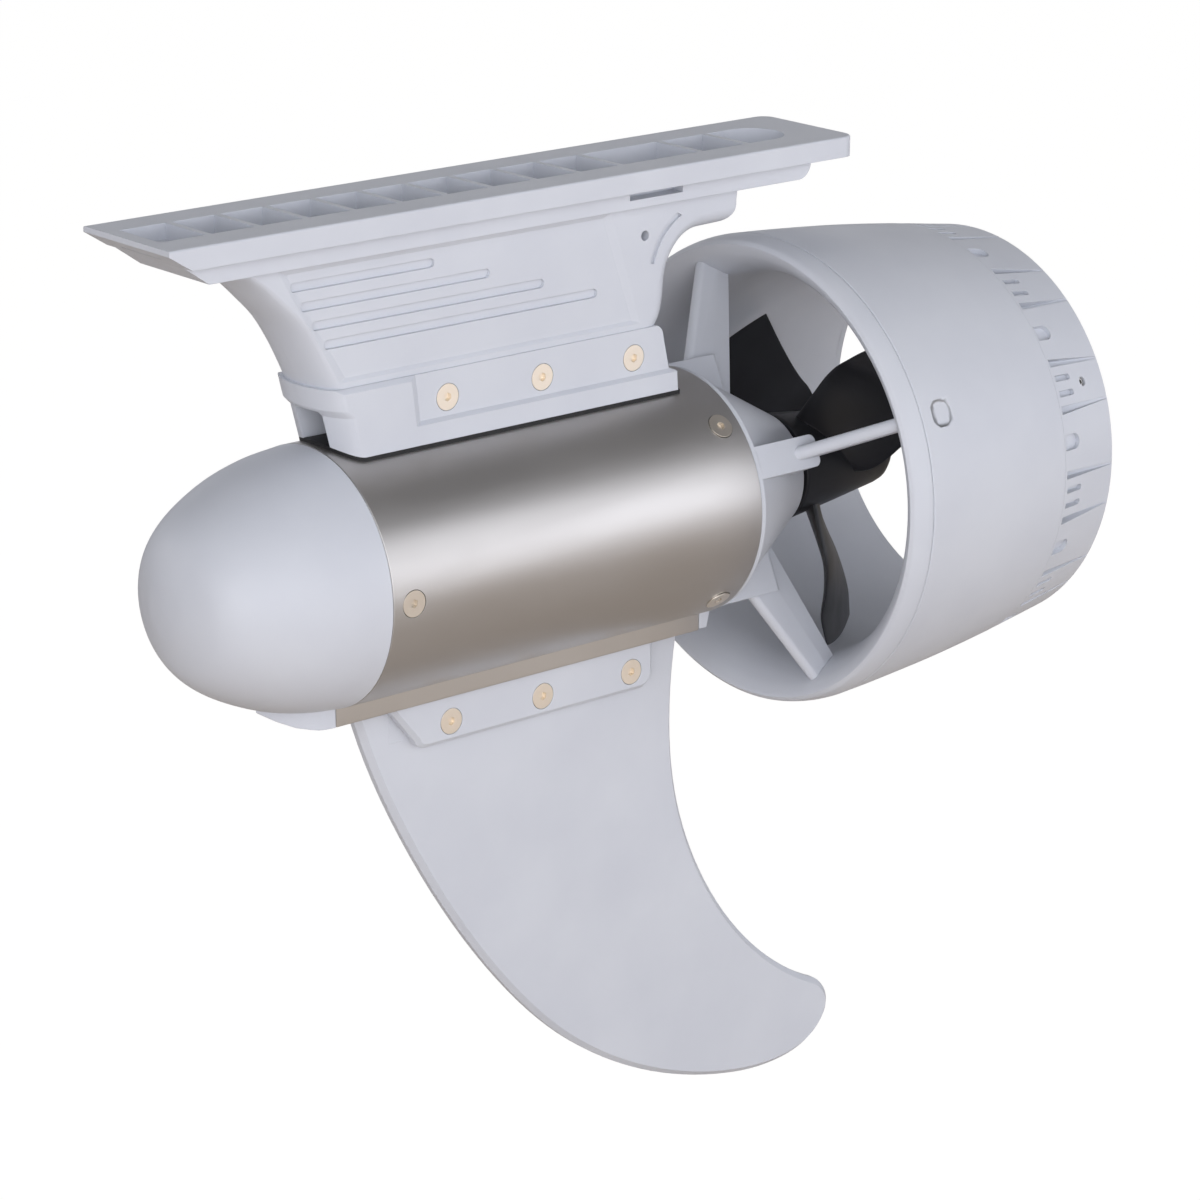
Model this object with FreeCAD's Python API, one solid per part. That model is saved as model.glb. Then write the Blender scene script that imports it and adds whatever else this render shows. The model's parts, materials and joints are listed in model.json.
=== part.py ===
import FreeCAD, Part
import math
import os

V = FreeCAD.Vector

# Underwater thruster, millimetres. The working frame has the motor axis on X,
# the nose joint at x = 0 and the propeller aft, towards +X. Every finished
# piece is moved by place() so that the origin is the middle of the base
# plate's top face, +Z up.

# Sizes that drive the rest
POD_R = 33.0            # outer radius of the motor housing
POD_LEN = 119.2         # length of the extruded housing
POD_WALL = 3.0
NOSE_LEN = 43.6
RAIL_HALF = 9.25        # half width of the rail under the housing
RAIL_TOP = -32.0
RAIL_BOT = -36.6
TONGUE_HALF = 2.5       # web that carries the pylon above and the fin below
SCREW_PITCH = 30.0      # pylon screws and fin screws
SCREW_R = 1.5           # M3
HEAD_R = 3.35           # countersunk M3 head
FIT = 0.15              # gap round a screw shank in its hole
PRESS = 0.02            # gap of a bonded or pressed round seat

PLATE_X0, PLATE_X1 = -50.8, 164.4
PLATE_HALF = 17.5
PLATE_TOP = 91.4
PLATE_T = 5.4
POCKET_HALF = 8.2
RIB_PITCH = 13.9
RIB_T = 1.6
NECK_HALF = 14.0
NECK_BOT = 81.2

COLUMN_HALF = 11.0
SKIRT_HALF = 12.6
SKIRT_RECESS = 1.2        # depth of the face round the clamp screws
NUT_DEPTH = 2.6           # hex pockets for the nuts
CLAMP_SCREW = 2 * (SKIRT_HALF - SKIRT_RECESS) - NUT_DEPTH + 2.0
SPINE_HALF = 9.8          # deep middle of the base plate
SPINE_X = (-37.0, 145.0)
SPINE_BOT = 82.6
SPINE_GAP = 0.2
PYLON_SCREW = (33.7, 42.0)    # first screw, x and z
WEB_X0, WEB_X1 = 24.2, 103.6  # upper web
WEB_TOP = 47.9
FOOT_X0 = 30.0            # lower web, just behind the front of the fin slot
GASKET_T = 1.0
GLAND_X = 16.6
GLAND_R = 4.5
GLAND_BORE = 2.6
GLAND_SEAT = 32.5       # flat on top of the housing
PASSAGE_HALF = 5.4      # front opening of the pylon
PASSAGE_TOP = 43.0
FIN_SCREW = (38.4, -44.5)
FIN_HALF = 2.4
BOSS_HALF = 6.1

CLOCK = 24.5            # angle of the struts from -Y towards +Z, then every 90
EAR_HALF = 4.3
EAR_R = 32.5
EAR_END = 141.4
CONE_START_R = 32.0
CONE_END = (150.6, 15.3)
STRUT_T = 3.6

DUCT_X0 = 144.3         # crest of the lip
LIP_R = 61.3
DUCT_SEAM = 151.0
DUCT_SCREW_X = 158.3
RING_X0 = 205.0
RING_SCREW_X = 217.4
RING_SCREW_R = 1.1
DUCT_X1 = 227.0
LINER_X1 = DUCT_X1 - 2.0
THROAT_R = 51.5
DUCT_WALL = 2.8

SHAFT_R = 4.0
RUN = 0.05              # radial running clearance
PROP_R = 50.4
PROP_X0, PROP_X1 = 152.4, 190.0
HUB_R0, HUB_R1 = 14.6, 9.6
BLADES = (40.0, 160.0, 280.0)


# Small shared helpers

def face(points):
    """Flat face through straight-sided corner points."""
    pts = [V(*p) for p in points]
    return Part.Face(Part.makePolygon(pts + [pts[0]]))


def curve(points):
    """One smooth edge through the points."""
    c = Part.BSplineCurve()
    c.interpolate([V(*p) for p in points])
    return c.toShape()


def line(a, b):
    return Part.makeLine(V(*a), V(*b))


def arc(a, m, b):
    return Part.Arc(V(*a), V(*m), V(*b)).toShape()


def loop(edges):
    """Flat face from edges that follow on from each other."""
    return Part.Face(Part.Wire(edges))


def turn(flat):
    """Revolve a face drawn in the XZ plane about the motor axis."""
    return flat.revolve(V(0, 0, 0), V(1, 0, 0), 360)


def ring(x0, x1, r_in, r_out):
    body = Part.makeCylinder(r_out, x1 - x0, V(x0, 0, 0), V(1, 0, 0))
    if r_in <= 0:
        return body
    return body.cut(Part.makeCylinder(r_in, x1 - x0 + 2, V(x0 - 1, 0, 0), V(1, 0, 0)))


def box(x0, x1, y0, y1, z0, z1):
    return Part.makeBox(x1 - x0, y1 - y0, z1 - z0, V(x0, y0, z0))


def clocked(shape, angle):
    """Turn a piece drawn pointing up (+Z) to the given angle round the axis."""
    out = shape.copy()
    out.rotate(V(0, 0, 0), V(1, 0, 0), 90.0 - angle)
    return out


def union(shapes):
    out = shapes[0]
    for s in shapes[1:]:
        out = out.fuse(s)
    return out.removeSplitter()


def group(shapes):
    return Part.makeCompound(shapes)


def mirror_y(shape):
    return shape.mirror(V(0, 0, 0), V(0, 1, 0))


def slot_plan(x0, x1, z, half, y0, y1):
    """Long hole with round ends, running along X and cut along Y."""
    a, b = x0 + half, x1 - half
    flat = loop([
        line((a, y0, z + half), (b, y0, z + half)),
        arc((b, y0, z + half), (x1, y0, z), (b, y0, z - half)),
        line((b, y0, z - half), (a, y0, z - half)),
        arc((a, y0, z - half), (x0, y0, z), (a, y0, z + half))])
    return flat.extrude(V(0, y1 - y0, 0))


def round_edges(shape, radius, pick):
    """Fillet the edges that pick() accepts; leave the shape alone if none do."""
    edges = [e for e in shape.Edges if pick(e)]
    if not edges:
        return shape
    return shape.makeFillet(radius, edges)


def hex_prism(across, length, at, direction):
    r = across / math.sqrt(3.0)
    pts = [V(r * math.cos(math.radians(60 * i + 30)), r * math.sin(math.radians(60 * i + 30)), 0) for i in range(7)]
    body = Part.Face(Part.makePolygon(pts)).extrude(V(0, 0, length))
    body.Placement = FreeCAD.Placement(V(*at), FreeCAD.Rotation(V(0, 0, 1), V(*direction)))
    return body


def flat_screw(length, head_r=HEAD_R, shank_r=SCREW_R):
    """Countersunk screw with a hex socket. The head's top is at z = 0, the shank points to -Z."""
    cone = (head_r - shank_r)
    prof = [(0, 0, 0), (head_r, 0, 0), (head_r, 0, -0.3), (shank_r, 0, -0.3 - cone), (shank_r, 0, -length), (0, 0, -length)]
    body = face(prof).revolve(V(0, 0, 0), V(0, 0, 1), 360)
    socket = hex_prism(2.0, 1.3, (0, 0, -1.2), (0, 0, 1))
    return body.cut(socket)


def sink(length, head_r=HEAD_R, shank_r=SCREW_R, above=3.0, fit=FIT):
    """The hole for flat_screw(), with a gap all round and room above the head."""
    cone = (head_r - shank_r)
    r, s = head_r + fit, shank_r + fit
    prof = [(0, 0, above), (r, 0, above), (r, 0, -0.3), (s, 0, -0.3 - cone), (s, 0, -length - 0.3), (0, 0, -length - 0.3)]
    return face(prof).revolve(V(0, 0, 0), V(0, 0, 1), 360)


def aimed(shape, at, direction):
    """Put a piece drawn along +Z at a point, pointing its +Z along a direction."""
    out = shape.copy()
    out.Placement = FreeCAD.Placement(V(*at), FreeCAD.Rotation(V(0, 0, 1), V(*direction)))
    return out


def radial_dir(angle):
    a = math.radians(angle)
    return (0, -math.cos(a), math.sin(a))


def radial_point(x, r, angle):
    d = radial_dir(angle)
    return (x, r * d[1], r * d[2])


# Profiles shared by mating pieces

def nose_edge(scale=1.0, tip=NOSE_LEN):
    r = POD_R * scale
    k = tip / NOSE_LEN
    return [(-NOSE_LEN * k, 0, 0), (-42.4 * k, 0, 0.27 * r), (-39.2 * k, 0, 0.518 * r), (-32.7 * k, 0, 0.703 * r),
            (-21.8 * k, 0, 0.868 * r), (-10.9 * k, 0, 0.961 * r), (0, 0, r)]


def cone_solid(inset=0.0, x1=None):
    """The tail cone's outer shape as a solid, drawn in by inset."""
    x0 = POD_LEN + 1.6
    xe, re = CONE_END
    if x1 is not None:
        xe = x1
    pts = [(x0, 0, 0), (x0, 0, CONE_START_R - inset), (xe, 0, re - inset), (xe, 0, 0)]
    return turn(face(pts))


DUCT_OUT = [(151.0, 63.4), (162.6, 62.7), (181.2, 61.2), (205.0, 58.5)]
RIM_R = 55.3


def duct_outer(x):
    """Outer radius of the duct behind the seam."""
    pts = DUCT_OUT + [(DUCT_X1, RIM_R)]
    for (xa, ra), (xb, rb) in zip(pts, pts[1:]):
        if x <= xb:
            return ra + (rb - ra) * (x - xa) / (xb - xa)
    return RIM_R


def lip_inner_edges(x_end):
    """Bell mouth from the crest in to the throat, then straight aft to x_end."""
    return [curve([(DUCT_X0, 0, LIP_R), (145.0, 0, 60.0), (147.0, 0, 57.7), (151.0, 0, 55.0), (157.0, 0, 52.7), (165.0, 0, THROAT_R)]),
            line((165.0, 0, THROAT_R), (x_end, 0, THROAT_R))]


def bore_space():
    """Everything inside the duct's inner surface, as one solid."""
    edges = lip_inner_edges(DUCT_X1)
    edges += [line((DUCT_X1, 0, THROAT_R), (DUCT_X1, 0, 0)), line((DUCT_X1, 0, 0), (100, 0, 0)),
              line((100, 0, 0), (100, 0, LIP_R)), line((100, 0, LIP_R), (DUCT_X0, 0, LIP_R))]
    return turn(loop(edges))


# Base plate that slides into the board's fin box

def pocket_edges():
    """Clear spans of the core-out between the ribs, along X."""
    first = -33.4
    walls = [first + RIB_PITCH * i for i in range(10)] + [118.6, 134.5]
    spans = []
    start = -47.0
    for w in walls:
        spans.append((start, w - RIB_T / 2))
        start = w + RIB_T / 2
    spans.append((start, 152.0))
    return spans


def base_plate():
    low = PLATE_TOP - PLATE_T
    side = face([(PLATE_X0, 0, PLATE_TOP), (PLATE_X1, 0, PLATE_TOP), (PLATE_X1, 0, low), (-44.5, 0, low), (PLATE_X0, 0, PLATE_TOP - 1.4)])
    body = side.extrude(V(0, PLATE_HALF, 0)).fuse(side.extrude(V(0, -PLATE_HALF, 0))).removeSplitter()
    body = round_edges(body, 4.0, lambda e: upright(e) and e.CenterOfMass.x > PLATE_X1 - 1)
    spine = box(SPINE_X[0], SPINE_X[1], -SPINE_HALF, SPINE_HALF, SPINE_BOT, low + 0.5)
    body = body.fuse(spine).removeSplitter()
    for x0, x1 in pocket_edges():
        floor = SPINE_BOT + 1.4 if x0 > SPINE_X[0] and x1 < SPINE_X[1] else low + 1.4
        hole = box(x0, x1, -POCKET_HALF, POCKET_HALF, floor, PLATE_TOP + 1)
        if x1 > 150:
            hole = hole.common(box(x0, x1 - POCKET_HALF, -POCKET_HALF, POCKET_HALF, low, PLATE_TOP + 2).fuse(
                Part.makeCylinder(POCKET_HALF, 20, V(x1 - POCKET_HALF, 0, low - 1))))
        body = body.cut(hole)
    body = round_edges(body, 0.6, lambda e: top_rim(e))
    return body


def upright(e):
    d = e.BoundBox
    return d.XLength < 0.01 and d.YLength < 0.01 and d.ZLength > 1.0


def top_rim(e):
    b = e.BoundBox
    return b.ZLength < 0.01 and abs(b.ZMax - PLATE_TOP) < 0.01 and b.YMax > PLATE_HALF - 0.01 and b.XLength > 100


# Pylon, two half shells that clamp the housing's upper web

def pylon_side():
    """Side outline of the pylon above the skirt, front edge first."""
    low = PLATE_TOP - PLATE_T
    front = [(-37.6, 0, NECK_BOT), (-26.8, 0, 77.4), (-15.9, 0, 66.9), (-9.2, 0, 55.9), (-5.4, 0, 47.4)]
    rear = [(101.6, 0, 47.4), (105.6, 0, 57.2), (106.4, 0, 63.2), (109.9, 0, 68.9), (116.6, 0, 72.0)]
    return loop([
        line((-44.5, 0, low), (-37.6, 0, NECK_BOT)), curve(front),
        line(front[-1], rear[0]), curve(rear),
        line(rear[-1], (124.0, 0, 72.2)), arc((124.0, 0, 72.2), (127.2, 0, 74.0), (128.4, 0, 78.0)),
        line((128.4, 0, 78.0), (128.8, 0, NECK_BOT)), line((128.8, 0, NECK_BOT), (147.0, 0, NECK_BOT)),
        arc((147.0, 0, NECK_BOT), (150.6, 0, 82.7), (151.6, 0, low)), line((151.6, 0, low), (-44.5, 0, low))])


def skirt_side():
    """Side outline of the clamp skirt that straddles the housing."""
    return loop([
        line((-5.4, 0, 47.6), (-3.0, 0, 42.0)), line((-3.0, 0, 42.0), (-1.0, 0, 29.0)),
        line((-1.0, 0, 29.0), (108.0, 0, 29.0)), line((108.0, 0, 29.0), (107.4, 0, 36.8)),
        line((107.4, 0, 36.8), (105.6, 0, 37.6)), line((105.6, 0, 37.6), (103.6, 0, 46.4)),
        arc((103.6, 0, 46.4), (102.9, 0, 48.2), (101.4, 0, 49.2)), line((101.4, 0, 49.2), (-6.2, 0, 49.2)),
        line((-6.2, 0, 49.2), (-5.4, 0, 47.6))])


def pylon_block():
    """The near half as one solid, before its cavity and openings are cut."""
    col = pylon_side().extrude(V(0, -COLUMN_HALF, 0))
    col = round_edges(col, 4.0, column_ends)
    neck = pylon_side().extrude(V(0, -NECK_HALF, 0)).common(box(-44.6, 152, -NECK_HALF, 0, NECK_BOT, PLATE_TOP - PLATE_T))
    skirt = skirt_side().extrude(V(0, -SKIRT_HALF, 0))
    skirt = skirt.makeChamfer(1.1, [e for e in skirt.Edges if on_side(e, SKIRT_HALF) and (e.BoundBox.ZMin > 47 or e.BoundBox.XMax < 0)])
    return union([col, neck, skirt])


def on_side(e, half):
    b = e.BoundBox
    return abs(b.YMin + half) < 0.02 and abs(b.YMax + half) < 0.02


def column_ends(e):
    """The long curved edges down the front and the rear of the column."""
    b = e.BoundBox
    return on_side(e, COLUMN_HALF) and b.ZMax < 81.5 and b.ZLength > 15


def pylon_near():
    body = pylon_block()
    # seat for the housing and its gasket, and for the web that the screws cross
    body = body.cut(ring(-10, 120, 0, POD_R + GASKET_T))
    body = body.cut(box(WEB_X0 - 0.4, WEB_X1 + 0.4, -TONGUE_HALF - 0.1, 1, 20, WEB_TOP + 0.3))
    # opening at the front of the skirt, back to the gland
    body = body.cut(box(-12, WEB_X0, -PASSAGE_HALF, 1, 30, PASSAGE_TOP))
    # recessed face round the clamp screws, with its lip below
    outside, deep = -SKIRT_HALF - 0.5, -SKIRT_HALF + SKIRT_RECESS
    mouth = face([(22.4, outside, 36.2), (20.6, outside, 50.0), (112.0, outside, 50.0), (112.0, outside, 36.2)])
    floor = face([(25.2, deep, 37.4), (23.6, deep, 50.0), (112.0, deep, 50.0), (112.0, deep, 37.4)])
    body = body.cut(Part.makeLoft([mouth.OuterWire, floor.OuterWire], True, True))
    for i in range(3):
        at = (PYLON_SCREW[0] + SCREW_PITCH * i, -SKIRT_HALF + SKIRT_RECESS, PYLON_SCREW[1])
        body = body.cut(aimed(sink(40), at, (0, -1, 0)))
    # four grip grooves that step back down the side
    for i, x1 in enumerate((30.6, 47.8, 65.0, 82.2)):
        x0 = (-15.2, -12.0, -8.6, -5.4)[i]
        z = 75.8 - 5.1 * i
        body = body.cut(slot_plan(x0, x1, z, 1.15, -COLUMN_HALF - 1, -COLUMN_HALF + 1.1))
    body = pylon_trim(body)
    return body


def pylon_trim(body):
    """Leash hole, the arc groove beside it and the strap slot under the plate."""
    body = body.cut(Part.makeCylinder(1.3, 40, V(97.5, -20, 73.0), V(0, 1, 0)))
    sweep = loop([
        arc((108.6, -COLUMN_HALF + 0.8, 77.4), (102.6, -COLUMN_HALF + 0.8, 72.6), (99.4, -COLUMN_HALF + 0.8, 65.6)),
        line((99.4, -COLUMN_HALF + 0.8, 65.6), (100.6, -COLUMN_HALF + 0.8, 65.2)),
        arc((100.6, -COLUMN_HALF + 0.8, 65.2), (104.0, -COLUMN_HALF + 0.8, 72.0), (109.8, -COLUMN_HALF + 0.8, 76.6)),
        line((109.8, -COLUMN_HALF + 0.8, 76.6), (108.6, -COLUMN_HALF + 0.8, 77.4))])
    body = body.cut(sweep.extrude(V(0, -3, 0)))
    slot = box(SPINE_X[0] - SPINE_GAP, SPINE_X[1] + SPINE_GAP, -SPINE_HALF - SPINE_GAP, 1, SPINE_BOT, PLATE_TOP)
    body = body.cut(slot)
    pad = face([(89.4, -NECK_HALF, NECK_BOT), (91.2, -NECK_HALF, 78.8), (107.4, -NECK_HALF, 78.8), (109.2, -NECK_HALF, NECK_BOT)])
    body = body.fuse(pad.extrude(V(0, NECK_HALF - COLUMN_HALF + 0.4, 0))).removeSplitter()
    return body


def pylon_far():
    """Mirror of the near half, with nut pockets in place of the countersinks."""
    body = mirror_y(pylon_near())
    for i in range(3):
        x, z = PYLON_SCREW[0] + SCREW_PITCH * i, PYLON_SCREW[1]
        y = SKIRT_HALF - SKIRT_RECESS
        plug = Part.makeCylinder(HEAD_R + 1.0, 4.0, V(x, y - 4.0, z), V(0, 1, 0))
        body = body.fuse(plug)
        body = body.cut(hex_prism(5.7, 6, (x, y - NUT_DEPTH, z), (0, 1, 0)))
        body = body.cut(Part.makeCylinder(SCREW_R + FIT, 20, V(x, -1, z), V(0, 1, 0)))
    return body.removeSplitter()


def pylon_screws():
    out = []
    for i in range(3):
        at = (PYLON_SCREW[0] + SCREW_PITCH * i, -SKIRT_HALF + SKIRT_RECESS, PYLON_SCREW[1])
        out.append(aimed(flat_screw(CLAMP_SCREW), at, (0, -1, 0)))
    return group(out)


def nut_at(x, y, z, half_height):
    body = hex_prism(5.5, half_height, (x, y, z), (0, 1, 0))
    return body.cut(Part.makeCylinder(SCREW_R + 0.02, 10, V(x, y - 2, z), V(0, 1, 0)))


def pylon_nuts():
    y = SKIRT_HALF - SKIRT_RECESS - NUT_DEPTH
    return group([nut_at(PYLON_SCREW[0] + SCREW_PITCH * i, y, PYLON_SCREW[1], 2.2) for i in range(3)])


def pylon_gasket():
    """Thin rubber saddle between the skirt and the housing."""
    body = ring(0.0, 108.4, POD_R, POD_R + GASKET_T)
    body = body.common(box(-5, 115, -13.4, 13.4, 25, 40))
    body = body.cut(box(WEB_X0 - 0.4, 109, -TONGUE_HALF - 0.1, TONGUE_HALF + 0.1, 20, 50))
    return body.cut(Part.makeCylinder(GLAND_R + 1.2, 20, V(GLAND_X, 0, 25), V(0, 0, 1)))


# Housing

def pod_shell():
    tube = ring(0, POD_LEN, POD_R - POD_WALL, POD_R)
    web = box(WEB_X0, WEB_X1, -TONGUE_HALF, TONGUE_HALF, POD_R - 1.0, WEB_TOP)
    rail = box(0, POD_LEN, -RAIL_HALF, RAIL_HALF, RAIL_BOT, -29.0)
    foot = box(FOOT_X0, 104.0, -TONGUE_HALF, TONGUE_HALF, -47.4, RAIL_BOT + 1)
    body = union([tube, web, rail, foot])
    body = body.cut(ring(-1, POD_LEN + 1, 0, POD_R - POD_WALL))
    for i in range(3):
        x = PYLON_SCREW[0] + SCREW_PITCH * i
        body = body.cut(Part.makeCylinder(SCREW_R + FIT, 20, V(x, -10, PYLON_SCREW[1]), V(0, 1, 0)))
        x = FIN_SCREW[0] + SCREW_PITCH * i
        body = body.cut(Part.makeCylinder(SCREW_R + FIT, 20, V(x, -10, FIN_SCREW[1]), V(0, 1, 0)))
    for x, angle in pod_screw_spots():
        body = body.cut(aimed(sink(9), radial_point(x, POD_R - 0.1, angle), radial_dir(angle)))
    body = body.cut(Part.makeCylinder(GLAND_R + FIT, 20, V(GLAND_X, 0, 20), V(0, 0, 1)))
    body = body.cut(Part.makeCylinder(GLAND_R + 0.9, 20, V(GLAND_X, 0, GLAND_SEAT), V(0, 0, 1)))
    return body.removeSplitter()


def pod_screw_spots():
    front = [(6.2, 0.0), (6.2, 180.0)]
    rear = [(POD_LEN - 6.3, a) for a in (45.0, 135.0, 225.0, 315.0)]
    return front + rear


def pod_screws():
    out = []
    for x, angle in pod_screw_spots():
        lift = 0.0 if x < 20 else 0.35
        out.append(aimed(flat_screw(7.6), radial_point(x, POD_R - 0.1 + lift, angle), radial_dir(angle)))
    return group(out)


def nose_cone():
    rim = POD_R - POD_WALL
    edges = [curve(nose_edge()), line((0, 0, POD_R), (0, 0, rim - 0.1)), line((0, 0, rim - 0.1), (11.3, 0, rim - 0.1)),
             line((11.3, 0, rim - 0.1), (11.3, 0, rim - 4.6)), line((11.3, 0, rim - 4.6), (-4.0, 0, rim - 4.6)),
             curve([(-4.0, 0, rim - 4.6), (-18.0, 0, 22.4), (-30.0, 0, 16.0), (-39.4, 0, 0)]),
             line((-39.4, 0, 0), (-NOSE_LEN, 0, 0))]
    body = turn(loop(edges))
    # boat-shaped fairing that carries the rail's line forward
    plan = loop([
        line((0, -RAIL_HALF, -20), (0, RAIL_HALF, -20)),
        arc((0, RAIL_HALF, -20), (-11.5, 5.6, -20), (-17.5, 0, -20)),
        arc((-17.5, 0, -20), (-11.5, -5.6, -20), (0, -RAIL_HALF, -20))])
    keel = plan.extrude(V(0, 0, -20))
    side = loop([
        line((0, 12, -24), (0, 12, RAIL_BOT)), arc((0, 12, RAIL_BOT), (-10, 12, -35.2), (-17.5, 12, -31.2)),
        line((-17.5, 12, -31.2), (-17.5, 12, -24)), line((-17.5, 12, -24), (0, 12, -24))])
    keel = keel.common(side.extrude(V(0, -24, 0)))
    cavity = turn(loop([
        line((0, 0, 0), (0, 0, 30)), line((0, 0, 30), (-4.0, 0, 30)),
        curve([(-4.0, 0, 30), (-18.0, 0, 26.0), (-30.0, 0, 19.0), (-39.4, 0, 0)]), line((-39.4, 0, 0), (0, 0, 0))]))
    body = body.fuse(keel.cut(cavity)).removeSplitter()
    body = body.cut(seal_groove(NOSE_SEAL_X, rim))
    for x, angle in pod_screw_spots()[:2]:
        body = body.cut(aimed(sink(9), radial_point(x, POD_R - 0.1, angle), radial_dir(angle)))
    return body


NOSE_SEAL_X = 9.6
TAIL_SEAL_X = POD_LEN - 10.6
SEAL_DEPTH = 2.0


def seal_groove(x, rim):
    """Square groove for a ring seal in a spigot that fits the bore."""
    return ring(x - 1.2, x + 1.2, rim - SEAL_DEPTH, rim + 2)


def o_ring(x):
    """Seal squeezed flat between its groove and the housing's bore."""
    rim = POD_R - POD_WALL
    return ring(x - 0.95, x + 0.95, rim - SEAL_DEPTH + PRESS, rim - PRESS)


def nose_seal():
    return o_ring(NOSE_SEAL_X)


def tail_seal():
    return o_ring(TAIL_SEAL_X)


def ear():
    """One strut foot, drawn pointing up."""
    x0 = POD_LEN + 1.6
    body = box(x0, EAR_END, -EAR_HALF, EAR_HALF, 16.5, EAR_R)
    return round_edges(body, 1.9, lambda e: upright(e) and e.BoundBox.XMin > EAR_END - 0.1)


def tail_cap():
    rim = POD_R - POD_WALL
    x0 = POD_LEN
    flange = ring(x0, x0 + 1.6, 10, POD_R - 0.25)
    spigot = ring(x0 - 14.0, x0, rim - 5.0, rim - 0.1)
    cone = cone_solid()
    ears = [clocked(ear(), CLOCK + 90 * i) for i in range(4)]
    lug = box(x0, x0 + 5.2, -RAIL_HALF, RAIL_HALF, RAIL_BOT + 0.4, -24.0)
    lug = lug.cut(face([(x0 + 5.3, -12, -24), (x0 + 5.3, -12, -37), (x0 + 2.6, -12, -37)]).extrude(V(0, 24, 0)))
    body = union([flange, spigot, cone, lug] + ears)
    # hollow inside the cone, bearing seat, seal seat and shaft hole
    hollow = turn(face([(x0 - 1, 0, 0), (x0 - 1, 0, 26.0), (x0 + 6, 0, 24.0), (x0 + 14.0, 0, 18.0), (x0 + 14.0, 0, 0)]))
    body = body.cut(hollow)
    body = body.cut(ring(x0 - 1, REAR_BEARING_X + BEARING_W, 0, BEARING_R + PRESS))
    body = body.cut(ring(x0 - 1, REAR_BEARING_X + BEARING_W + SHAFT_SEAL_W, 0, SHAFT_SEAL_R + PRESS))
    body = body.cut(ring(x0 - 1, 160, 0, SHAFT_R + 0.4))
    body = body.cut(seal_groove(TAIL_SEAL_X, rim))
    for x, angle in pod_screw_spots()[2:]:
        body = body.cut(aimed(sink(9), radial_point(x, POD_R - 0.1, angle), radial_dir(angle)))
    body = body.cut(struts())
    return body.removeSplitter()


# Struts, all four alike

def strut_blank():
    """Airfoil strut pointing up: round leading edge, flat sides, tapered tail."""
    wires = []
    for z in (12.0, 66.0):
        le = 133.6 + 0.53 * (z - POD_R)
        te = 149.2 + 0.34 * (z - POD_R)
        mid = le + 0.55 * (te - le)
        h = STRUT_T / 2
        wires.append(Part.Wire([
            arc((le + h, -h, z), (le, 0, z), (le + h, h, z)), line((le + h, h, z), (mid, h, z)),
            line((mid, h, z), (te, 0.5, z)), line((te, 0.5, z), (te, -0.5, z)),
            line((te, -0.5, z), (mid, -h, z)), line((mid, -h, z), (le + h, -h, z))]))
    return Part.makeLoft(wires, True, True)


def struts():
    inside = bore_space()
    out = []
    for i in range(4):
        s = clocked(strut_blank(), CLOCK + 90 * i)
        out.append(s.common(inside).cut(cone_solid(inset=0.0)))
    return group(out)


# Duct

def duct_liner():
    """Lip, bell mouth and inner wall in one piece, on under the outlet ring."""
    t = DUCT_WALL
    edges = lip_inner_edges(LINER_X1)
    edges += [line((LINER_X1, 0, THROAT_R), (LINER_X1, 0, THROAT_R + t)), line((LINER_X1, 0, THROAT_R + t), (166.0, 0, THROAT_R + t)),
              line((166.0, 0, THROAT_R + t), (DUCT_SEAM, 0, 58.4)), line((DUCT_SEAM, 0, 58.4), (DUCT_SEAM, 0, DUCT_OUT[0][1])),
              curve([(DUCT_SEAM, 0, DUCT_OUT[0][1]), (148.4, 0, 63.2), (145.5, 0, 62.5), (DUCT_X0, 0, LIP_R)])]
    body = turn(loop(edges))
    for i in range(4):
        a = CLOCK + 90 * i
        boss = Part.makeCylinder(4.6, 5.1, V(*radial_point(DUCT_SCREW_X, THROAT_R + 3.1, a)), V(*radial_dir(a)))
        body = body.fuse(boss)
        body = body.cut(aimed(sink(8.2), radial_point(DUCT_SCREW_X, duct_outer(DUCT_SCREW_X) - 0.2, a), duct_normal(DUCT_SCREW_X, a)))
        body = body.cut(pin_hole(a))
    return body.removeSplitter()


def pin_hole(angle):
    """Hole for a set screw through the outlet ring, blind in the liner."""
    start = radial_point(RING_SCREW_X, THROAT_R + 0.9, angle)
    return Part.makeCylinder(RING_SCREW_R + FIT, 12, V(*start), V(*radial_dir(angle)))


def duct_normal(x, angle):
    """Outward normal of the duct's skin, which leans a little aft."""
    slope = (duct_outer(x - 2) - duct_outer(x + 2)) / 4.0
    d = radial_dir(angle)
    return (slope, d[1], d[2])


def duct_shell():
    t = DUCT_WALL
    a, b, c, d = DUCT_OUT
    edges = [curve([(a[0], 0, a[1]), (b[0], 0, b[1]), (c[0], 0, c[1]), (d[0], 0, d[1])]),
             line((d[0], 0, d[1]), (d[0], 0, THROAT_R + t)), line((d[0], 0, THROAT_R + t), (d[0] - 3.0, 0, THROAT_R + t)),
             line((d[0] - 3.0, 0, THROAT_R + t), (d[0] - 3.0, 0, d[1] - t + 0.3)),
             curve([(d[0] - 3.0, 0, d[1] - t + 0.3), (c[0], 0, c[1] - t), (b[0], 0, b[1] - t), (a[0], 0, a[1] - t)]),
             line((a[0], 0, a[1] - t), (a[0], 0, a[1]))]
    body = turn(loop(edges))
    for i in range(4):
        ang = CLOCK + 90 * i
        body = body.cut(aimed(sink(8.2), radial_point(DUCT_SCREW_X, duct_outer(DUCT_SCREW_X) - 0.2, ang), duct_normal(DUCT_SCREW_X, ang)))
    return body


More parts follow.
